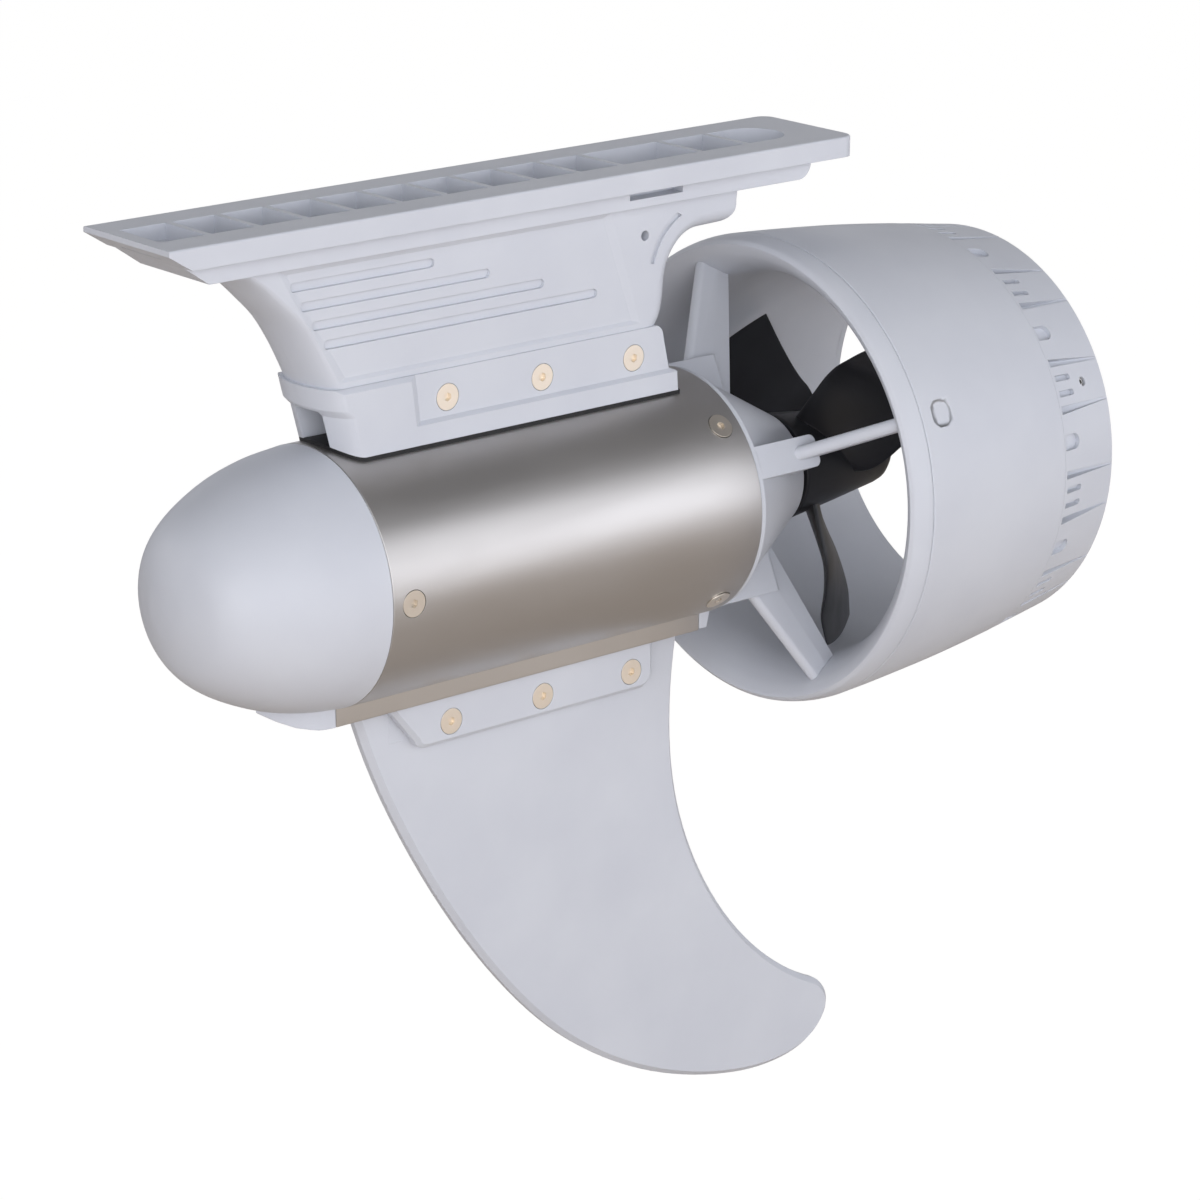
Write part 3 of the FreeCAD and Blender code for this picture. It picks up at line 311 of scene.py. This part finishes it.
def boxed(x0, x1, y0, y1, z0, z1):
    """A block between two corners."""
    bm = bmesh.new()
    bmesh.ops.create_cube(bm, size=1.0)
    bmesh.ops.scale(bm, verts=bm.verts, vec=(x1 - x0, y1 - y0, z1 - z0))
    bmesh.ops.translate(bm, verts=bm.verts, vec=((x0 + x1) / 2, (y0 + y1) / 2, (z0 + z1) / 2))
    return bm


def slab(outline, thick, flat="XZ"):
    """A closed outline pushed out to both sides of its plane."""
    bm = bmesh.new()
    half = thick / 2
    if flat == "XZ":
        verts = [bm.verts.new((u, -half, v)) for u, v in outline]
    else:
        verts = [bm.verts.new((u, v, -half)) for u, v in outline]
    face = bm.faces.new(verts)
    pushed = bmesh.ops.extrude_face_region(bm, geom=[face])
    top = [g for g in pushed["geom"] if isinstance(g, bmesh.types.BMVert)]
    bmesh.ops.translate(bm, verts=top, vec=(0, thick, 0) if flat == "XZ" else (0, 0, thick))
    bmesh.ops.recalc_face_normals(bm, faces=bm.faces)
    return bm


def drum(r, length, at, along, r2=None, sides=48):
    """A round bar or cone from a point along a direction."""
    bm = bmesh.new()
    bmesh.ops.create_cone(bm, cap_ends=True, segments=sides, radius1=r,
                          radius2=r if r2 is None else r2, depth=length)
    bmesh.ops.translate(bm, verts=bm.verts, vec=(0, 0, length / 2))
    turn = Vector((0, 0, 1)).rotation_difference(Vector(along).normalized()).to_matrix()
    bmesh.ops.rotate(bm, verts=bm.verts, cent=(0, 0, 0), matrix=turn)
    bmesh.ops.translate(bm, verts=bm.verts, vec=at)
    return bm


def clock(bm, angle):
    """Turn a drawing that points up to an angle round the axis, from the near side upwards."""
    turn = Matrix.Rotation(math.radians(90.0 - angle), 3, "X")
    bmesh.ops.rotate(bm, verts=bm.verts, cent=(0, 0, 0), matrix=turn)
    return bm


def spoke(angle):
    """Direction out from the axis at the same angle."""
    a = math.radians(angle)
    return Vector((0.0, -math.cos(a), math.sin(a)))


def joined(parts):
    """Several drawings in one, without merging their surfaces."""
    out = bmesh.new()
    for part in parts:
        mesh = bpy.data.meshes.new("part")
        part.to_mesh(mesh)
        part.free()
        out.from_mesh(mesh)
        bpy.data.meshes.remove(mesh)
    return out


def carve(bm, tool, operation="DIFFERENCE"):
    """Cut, join or intersect two closed drawings."""
    scene = bpy.context.scene
    made = []
    for part in (bm, tool):
        mesh = bpy.data.meshes.new("part")
        part.to_mesh(mesh)
        part.free()
        obj = bpy.data.objects.new("part", mesh)
        scene.collection.objects.link(obj)
        made.append(obj)
    mod = made[0].modifiers.new("carve", "BOOLEAN")
    mod.operation = operation
    mod.solver = "EXACT"
    mod.use_self = True
    mod.object = made[1]
    bpy.context.view_layer.update()
    graph = bpy.context.evaluated_depsgraph_get()
    result = bpy.data.meshes.new_from_object(made[0].evaluated_get(graph))
    out = bmesh.new()
    out.from_mesh(result)
    bmesh.ops.remove_doubles(out, verts=out.verts, dist=0.0005)
    for obj in made:
        mesh = obj.data
        bpy.data.objects.remove(obj)
        bpy.data.meshes.remove(mesh)
    bpy.data.meshes.remove(result)
    return out


def screw_seat(at, along):
    """Room for a countersunk head at a point, pointing out along a direction."""
    along = along.normalized()
    mouth_r = SCREW_HEAD_R + 0.15
    cone = drum(SCREW_SHANK_R, 1.85, at - along * 2.15, along, r2=mouth_r)
    mouth = drum(mouth_r, 3.0, at - along * 0.3, along)
    shank = drum(SCREW_SHANK_R, 6.0, at - along * 8.0, along)
    return carve(carve(cone, mouth, "UNION"), shank, "UNION")


# Pieces

def nose():
    """Blunt nose shell with the boat-shaped fairing that runs into the rail."""
    r = POD_R
    outer = [(-NOSE_LEN, 0.0), (-43.3, 0.12 * r), (-42.4, 0.27 * r), (-39.2, 0.518 * r),
             (-32.7, 0.703 * r), (-21.8, 0.868 * r), (-10.9, 0.961 * r), (-0.25, r)]
    hollow = [(-SKIN_GAP, r - 0.25), (-SKIN_GAP, 29.9), (11.3, 29.9), (11.3, 25.4), (-4.0, 25.4),
              (-30.0, 15.0), (-38.0, 0.0)]
    shell = lathe(through(outer, 8) + hollow)
    side = [(-0.1, -26.0), (-0.1, RAIL_BOT), (-5.0, -36.3), (-10.0, -35.2), (-14.0, -33.4),
            (-17.5, -31.2), (-17.5, -26.0)]
    keel = slab(side, 2 * RAIL_HALF)
    plan = [(-0.1, RAIL_HALF), (-0.1, -RAIL_HALF), (-3.4, -RAIL_HALF), (-7.0, -8.2), (-10.8, -6.0),
            (-14.4, -3.2), (-17.4, 0.0), (-14.4, 3.2), (-10.8, 6.0), (-7.0, 8.2), (-3.4, RAIL_HALF)]
    keel = carve(keel, slab(plan, 90.0, "XY"), "INTERSECT")
    soften(keel, 0.35, 40.0)
    return finished(carve(shell, keel, "UNION"), "nose_skin", "root", "hull_plastic", ("nose_cone",))


def duct_lip():
    """Liner with its bell mouth, up to the seam with the outer shell."""
    outer = through([(DUCT_SEAM - 0.5, DUCT_R - 0.02), (148.4, 63.2), (145.5, 62.5), (DUCT_X0, LIP_R)], 6)
    outline = through(BELL, 6) + [
        (DUCT_X1 - 2.0, THROAT_R), (DUCT_X1 - 2.0, 54.3), (166.0, 54.3), (DUCT_SEAM - 0.06, 58.4),
        (DUCT_SEAM - 0.06, 62.9), (DUCT_SEAM - 0.16, 63.2)] + outer[:-1]
    return finished(lathe(outline, 256), "duct_lip_skin", "root", "hull_plastic", ("duct_liner",), 40.0)


def duct_skin():
    """Outer shell from the seam to the outlet ring, with seats for its four screws."""
    front, back = DUCT_SEAM + SKIN_GAP, RING_X0 - 0.05
    outer = through([(DUCT_SEAM + 0.3, DUCT_R), (162.6, 62.7), (181.2, 61.2), (194.0, 59.85), (back, 58.5)], 6)
    inner = [(back, 54.35), (202.0, 54.35), (202.0, 56.0), (181.2, 58.4), (162.6, 59.9),
             (front, 60.6), (front, 63.2)]
    body = lathe(outer + inner, 256)
    seats = [screw_seat(spoke(CLOCK + 90 * i) * 62.77 + Vector((DUCT_SCREW_X, 0, 0)),
                        spoke(CLOCK + 90 * i) + Vector((0.06, 0, 0))) for i in range(4)]
    return finished(carve(body, joined(seats)), "duct_skin", "root", "hull_plastic", ("duct_shell",))


def housing():
    """Extruded tube with its rail, the web above and foot below, screw seats and broken end edges."""
    r = POD_R
    front, back = SKIN_GAP, POD_LEN - SKIN_GAP
    tube = lathe([(front, 30.0), (front, r - 0.2), (0.2, r), (POD_LEN - 0.2, r), (back, r - 0.2),
                  (back, 30.0)], 256)
    rail = boxed(front, back, -RAIL_HALF, RAIL_HALF, RAIL_BOT, -29.6)
    soften(rail, 0.3)
    web = boxed(24.2, 103.6, -2.5, 2.5, 31.0, 47.9)
    foot = boxed(30.0, 104.0, -2.5, 2.5, -47.4, -35.0)
    seats = joined([screw_seat(spoke(a) * (r - 0.1) + Vector((x, 0, 0)), spoke(a))
                    for x, a in POD_SCREWS])
    gland = drum(4.65, 9.0, (16.6, 0, 27.0), (0, 0, 1))
    body = carve(carve(carve(tube, rail, "UNION"), web, "UNION"), foot, "UNION")
    body = carve(carve(body, seats), gland)
    skin = finished(body, "housing_skin", "root", "housing_alu", ("pod_shell",), 25.0)
    skin.data.materials.append(MATS["rail_alu"])
    rail_top = (RAIL_BOT + 4.6 - AXIS_DROP) * MM
    rail_side = (RAIL_HALF + 0.1) * MM
    for face in skin.data.polygons:
        if face.center.z < rail_top and abs(face.center.y) < rail_side:
            face.material_index = 1
    return skin


def strut_foot(angle):
    """Flat-topped ear that carries a strut, with its two rear corners rounded."""
    x0, y0 = EAR_END - EAR_ROUND, EAR_HALF - EAR_ROUND
    rear = [(x0 + EAR_ROUND * math.sin(t), y0 + EAR_ROUND * math.cos(t))
            for t in [math.pi / 2 * k / 6 for k in range(7)]]
    plan = [(119.6, EAR_HALF)] + rear + [(x, -y) for x, y in reversed(rear)] + [(119.6, -EAR_HALF)]
    foot = slab(plan, 16.0, "XY")
    bmesh.ops.translate(foot, verts=foot.verts, vec=(0, 0, EAR_R - 8.0))
    return clock(foot, angle)


def tail():
    """Cone and flange, four ears and the short lug behind the rail."""
    x0, r0 = CONE[0]
    x1, r1 = CONE[1]
    front = POD_LEN + SKIN_GAP
    body = lathe([(front, 26.0), (front, 32.55), (POD_LEN + 0.2, 32.75), (x0 - 0.15, 32.75), (x0, 32.6),
                  (x0, r0), (x1 - 0.5, r1 + 0.28), (x1 - 0.1, r1 - 0.1), (x1, r1 - 0.5), (x1, 4.4),
                  (146.2, 4.4), (146.2, 8.5), (139.2, 8.5), (139.2, 11.0), (133.2, 11.0), (133.2, 18.0),
                  (125.2, 24.0)])
    for i in range(4):
        body = carve(body, strut_foot(CLOCK + 90 * i), "UNION")
    side = [(front, -25.0), (front, -36.2), (POD_LEN + 2.6, -36.2), (POD_LEN + 5.2, -25.6),
            (POD_LEN + 5.2, -25.0)]
    body = carve(body, slab(side, 2 * RAIL_HALF), "UNION")
    return finished(body, "tail_skin", "root", "hull_plastic", ("tail_cap",))


def duct_bore():
    """The space inside the lip and the throat, for trimming the struts."""
    bell = [(x, r - 0.03) for x, r in through(BELL, 6)]
    return lathe([(110.0, 0.0), (110.0, LIP_R - 0.05)] + bell + [(190.0, THROAT_R - 0.03), (190.0, 0.0)], 256)


def closed_loop(bm, points):
    """The edges of a closed run of points."""
    verts = [bm.verts.new(p) for p in points]
    return [bm.edges.new(pair) for pair in zip(verts, verts[1:] + verts[:1])]


def bridged(bm, loops):
    """Close a row of edge loops into a solid, with a cap at both ends."""
    for one, two in zip(loops, loops[1:]):
        bmesh.ops.bridge_loops(bm, edges=one + two)
    bmesh.ops.holes_fill(bm, edges=loops[0] + loops[-1], sides=0)
    bmesh.ops.recalc_face_normals(bm, faces=bm.faces)
    return bm


def strut(angle):
    """Swept strut with a round nose, flat sides and a tapered tail, run into the ear and the duct wall."""
    bm = bmesh.new()
    half = 1.8
    rings = []
    for r in (18.0, 64.0):
        lead = 133.6 + 0.53 * (r - POD_R)
        trail = 149.2 + 0.34 * (r - POD_R)
        knee = lead + 0.55 * (trail - lead)
        nose_arc = [(lead + half - half * math.sin(t), half * math.cos(t))
                    for t in [math.pi * k / 14 for k in range(15)]]
        section = nose_arc + [(knee, -half), (trail - 0.3, -0.62), (trail, -0.3), (trail, 0.3),
                              (trail - 0.3, 0.62), (knee, half)]
        rings.append(closed_loop(bm, [(x, y, r) for x, y in section]))
    return clock(bridged(bm, rings), angle)


def struts():
    four = carve(joined([strut(CLOCK + 90 * i) for i in range(4)]), duct_bore(), "INTERSECT")
    return finished(four, "strut_skin", "root", "hull_plastic", ("struts",))


def bow(rows, half, depth):
    """A solid whose plan ends in a half ellipse at the front, at each height."""
    bm = bmesh.new()
    loops = []
    for z, x0 in rows:
        arc = [(x0 + depth - depth * math.cos(t), half * math.sin(t))
               for t in [math.pi * (k / 28 - 0.5) for k in range(29)]]
        loops.append(closed_loop(bm, [(x, y, z) for x, y in arc + [(170.0, half), (170.0, -half)]]))
    return bridged(bm, loops)


def pylon_form():
    """Round-nosed envelope of the clamp skirt, the column and the neck."""
    skirt = bow([(26.0, 3.4), (33.0, 1.8), (41.8, -0.5), (42.8, -1.6), (43.8, -2.6), (46.0, -3.2),
                 (49.25, -4.0)], SKIRT_HALF + 0.02, 6.0)
    column = bow(through([(49.2, -2.8), (54.3, -5.2), (59.6, -8.0), (65.6, -11.9), (70.6, -16.6),
                          (76.7, -23.0), (81.25, -29.3)], 3), COLUMN_HALF + 0.02, 5.0)
    return joined([skirt, column, boxed(-60.0, 170.0, -20.0, 20.0, 81.2, 95.0)])


def side_panel(side):
    """Shallow field with sloped borders, sunk into the column's side."""
    bm = bmesh.new()
    face = side * (COLUMN_HALF + 0.3)
    floor = side * (COLUMN_HALF - 0.6)
    for x, z in ((-17.5, 81.0), (0.6, 50.2), (97.4, 50.2), (87.4, 81.0)):
        bm.verts.new((x, face, z))
    for x, z in ((-13.4, 79.2), (3.4, 51.6), (93.6, 51.6), (84.0, 79.2)):
        bm.verts.new((x, floor, z))
    bmesh.ops.convex_hull(bm, input=bm.verts)
    bmesh.ops.recalc_face_normals(bm, faces=bm.faces)
    return bm


def groove(side, x0, x1, z, floor):
    """Round-ended bar that stands for one grip groove in the side."""
    half = GROOVE_HALF
    turns = [math.pi * k / 10 for k in range(11)]
    ends = [(x0 + half - half * math.sin(t), z + half * math.cos(t)) for t in turns]
    ends += [(x1 - half + half * math.sin(t), z - half * math.cos(t)) for t in turns]
    bar = slab(ends, 3.0)
    bmesh.ops.translate(bar, verts=bar.verts, vec=(0, side * (floor + 1.5), 0))
    return bar


def pylon_half(node, side):
    """A clamp half: the solid with a round nose, a sunk panel, its grooves and a pocket for the strap."""
    body = in_mm(copy_of(node))
    near, far = side * (COLUMN_HALF - 2.0), side * COLUMN_HALF
    body = carve(body, boxed(-16.0, 84.0, min(near, far), max(near, far), 58.6, 77.6), "UNION")
    body = carve(body, pylon_form(), "INTERSECT")
    body = carve(body, side_panel(side))
    body = carve(body, joined([groove(side, *g, COLUMN_HALF - 1.45) for g in GROOVES]))
    inner, outer = side * 10.1, side * 15.0
    body = carve(body, boxed(89.8, 107.4, min(inner, outer), max(inner, outer), 83.4, 87.0))
    return finished(body, node + "_skin", "root", "hull_plastic", (node,), 10.0)


def fin():
    """The fin with the front of its slot closed, ahead of the housing's foot."""
    corner = boxed(21.4, 29.9, -2.39, 2.39, -47.8, -37.2)
    return finished(joined([in_mm(copy_of("fin")), corner]), "fin_skin", "root", "hull_plastic", ("fin",))


def gasket():
    """The rubber line under the skirt, trimmed to the same round nose."""
    line = carve(in_mm(copy_of("pylon_gasket")), pylon_form(), "INTERSECT")
    return finished(line, "gasket_skin", "root", "rubber", ("pylon_gasket",))


# height above the shaft, trailing edge x and y, leading edge x and y, thickness
BLADE_STATIONS = [
    (6.0, 172.0, -8.6, 159.0, 7.6, 4.8), (11.0, 174.2, -11.0, 158.8, 8.6, 4.4),
    (16.0, 176.6, -11.1, 158.6, 9.4, 3.9), (22.0, 179.3, -10.0, 158.6, 10.5, 3.4),
    (28.0, 181.8, -9.6, 158.5, 11.5, 2.9), (34.5, 184.2, -10.0, 157.4, 11.3, 2.5),
    (40.6, 186.2, -10.9, 156.2, 10.2, 2.1), (45.4, 187.4, -12.3, 157.0, 9.6, 1.8),
    (50.8, 188.6, -14.0, 158.8, 8.7, 1.4)]
# along the chord, half thickness as a share of the largest
FOIL = [(0.0, 0.0), (0.015, 0.26), (0.05, 0.5), (0.12, 0.76), (0.22, 0.93), (0.38, 1.0), (0.55, 0.93),
        (0.72, 0.7), (0.88, 0.38), (0.97, 0.16)]


def blade(angle):
    """One blade: flat foil sections bridged from root to tip, then trimmed to the swept cylinder."""
    bm = bmesh.new()
    rows = []
    for height, xt, yt, xl, yl, thick in through(BLADE_STATIONS, 4):
        chord = math.hypot(xt - xl, yt - yl)
        along = Vector(((xt - xl) / chord, (yt - yl) / chord))
        points = []
        for u, t in FOIL + [(1.0, 0.06)] + [(u, -t) for u, t in reversed(FOIL[1:])]:
            run, off = u * chord, t * thick / 2
            points.append((xl + run * along.x - off * along.y, yl + run * along.y + off * along.x, height))
        rows.append(closed_loop(bm, points))
    bm = carve(bridged(bm, rows), drum(PROP_R, 60.0, (140.0, 0, 0), (1, 0, 0), sides=192), "INTERSECT")
    return clock(bm, angle)


def propeller():
    """Tapered hub with a rounded end, joined to its three blades."""
    hub = lathe([(152.4, 4.05), (152.4, 13.6), (152.7, 14.3), (153.4, 14.6), (170.0, 12.6), (185.6, 10.5),
                 (187.6, 10.0), (189.0, 9.0), (189.8, 7.8), (190.0, 6.6), (190.0, 6.0), (187.4, 6.0),
                 (187.4, 4.05)], 128)
    for angle in BLADES:
        hub = carve(hub, blade(angle), "UNION")
    return finished(hub, "propeller_skin", "rotor", "prop_plastic", ("propeller",), 35.0)


def either(tree, fac, first, second):
    """The first shader where fac is 0 and the second where it is 1."""
    return add(tree, "ShaderNodeMixShader", {0: fac, 1: first, 2: second}).outputs["Shader"]


def stage_and_lights():
    """Banded sky that only the part sees, white for the camera, three lamps and the floor."""
    scene = bpy.context.scene
    scene.view_settings.view_transform = "Standard"
    world = bpy.data.worlds.new("studio")
    scene.world = world
    world.use_nodes = True
    tree = world.node_tree
    tree.nodes.clear()
    ray = add(tree, "ShaderNodeLightPath")
    sky = add(tree, "ShaderNodeTexCoord").outputs["Generated"]
    height = add(tree, "ShaderNodeSeparateXYZ", {"Vector": sky}).outputs["Z"]
    share = add(tree, "ShaderNodeMapRange", {"Value": height, "From Min": -1.0, "From Max": 1.0})
    ramp = add(tree, "ShaderNodeValToRGB", {"Fac": share.outputs["Result"]})
    bands = ((0.0, "#d8c8b4"), (0.38, "#d9cdbf"), (0.47, "#e6e8f2"), (0.60, "#dcdfe8"),
             (0.74, "#707072"), (1.0, "#545352"))
    ramp.color_ramp.elements[0].color = linear(bands[0][1])
    ramp.color_ramp.elements[1].color = linear(bands[-1][1])
    for at, tint in bands[1:-1]:
        ramp.color_ramp.elements.new(at).color = linear(tint)
    light = add(tree, "ShaderNodeBackground", {"Color": ramp.outputs["Color"], "Strength": 1.2})
    white = add(tree, "ShaderNodeBackground", {"Color": (1, 1, 1, 1), "Strength": 1.0})
    mixed = either(tree, ray.outputs["Is Camera Ray"], light.outputs["Background"],
                   white.outputs["Background"])
    add(tree, "ShaderNodeOutputWorld", {"Surface": mixed})
    lamp("key", (-1.1, -1.3, 0.2), 2.0, 24.0, "#f6f7fd")
    lamp("side", (0.9, -1.5, 0.1), 1.6, 10.0, "#f6f8ff")
    lamp("top", (0.1, 0.3, 1.6), 1.2, 3.0, "#fff8f0")
    floor()


def lamp(name, at, size, power, tint):
    """Square area lamp aimed at the part."""
    data = bpy.data.lights.new(name, "AREA")
    data.size = size
    data.energy = power
    data.color = linear(tint)[:3]
    obj = bpy.data.objects.new(name, data)
    bpy.context.scene.collection.objects.link(obj)
    obj.location = at
    aim = Vector((0.0, 0.0, -0.09)) - Vector(at)
    obj.rotation_euler = aim.to_track_quat("-Z", "Y").to_euler()


def floor():
    """Pale floor well below the fin; the camera sees it as white paper with a faint shadow."""
    bm = bmesh.new()
    bmesh.ops.create_grid(bm, x_segments=1, y_segments=1, size=6.0)
    bmesh.ops.translate(bm, verts=bm.verts, vec=(0, 0, -0.36))
    mesh = bpy.data.meshes.new("floor")
    bm.to_mesh(mesh)
    bm.free()
    obj = bpy.data.objects.new("floor", mesh)
    bpy.context.scene.collection.objects.link(obj)
    mat, tree, place = blank_material("studio_paper")
    ray = add(tree, "ShaderNodeLightPath")
    paper = add(tree, "ShaderNodeBsdfDiffuse", {"Color": linear("#e2d6c8")})
    white = add(tree, "ShaderNodeEmission", {"Color": (1, 1, 1, 1), "Strength": 1.06})
    fac = add(tree, "ShaderNodeMath", {0: ray.outputs["Is Camera Ray"], 1: 0.93}, operation="MULTIPLY")
    mixed = either(tree, fac.outputs["Value"], paper.outputs["BSDF"], white.outputs["Emission"])
    add(tree, "ShaderNodeOutputMaterial", {"Surface": mixed})
    mesh.materials.append(mat)


def paint_solids():
    """The same materials on the solids that stay in view inside the part."""
    for name, obj in NODES.items():
        mat = MATS[SLOTS[name]]
        if not obj.material_slots:
            obj.data.materials.append(mat)
        for s in obj.material_slots:
            s.material = mat


aim_camera()
stage_and_lights()
paint_solids()
nose()
duct_lip()
duct_skin()
housing()
tail()
struts()
pylon_half("pylon_near", -1)
pylon_half("pylon_far", 1)
gasket()
fin()
for node in ("base_plate", "outlet_ring", "pylon_screws", "fin_screws", "pod_screws", "duct_screws"):
    refined(node)
propeller()
for node in ("shaft", "prop_nut"):
    refined(node, "rotor")
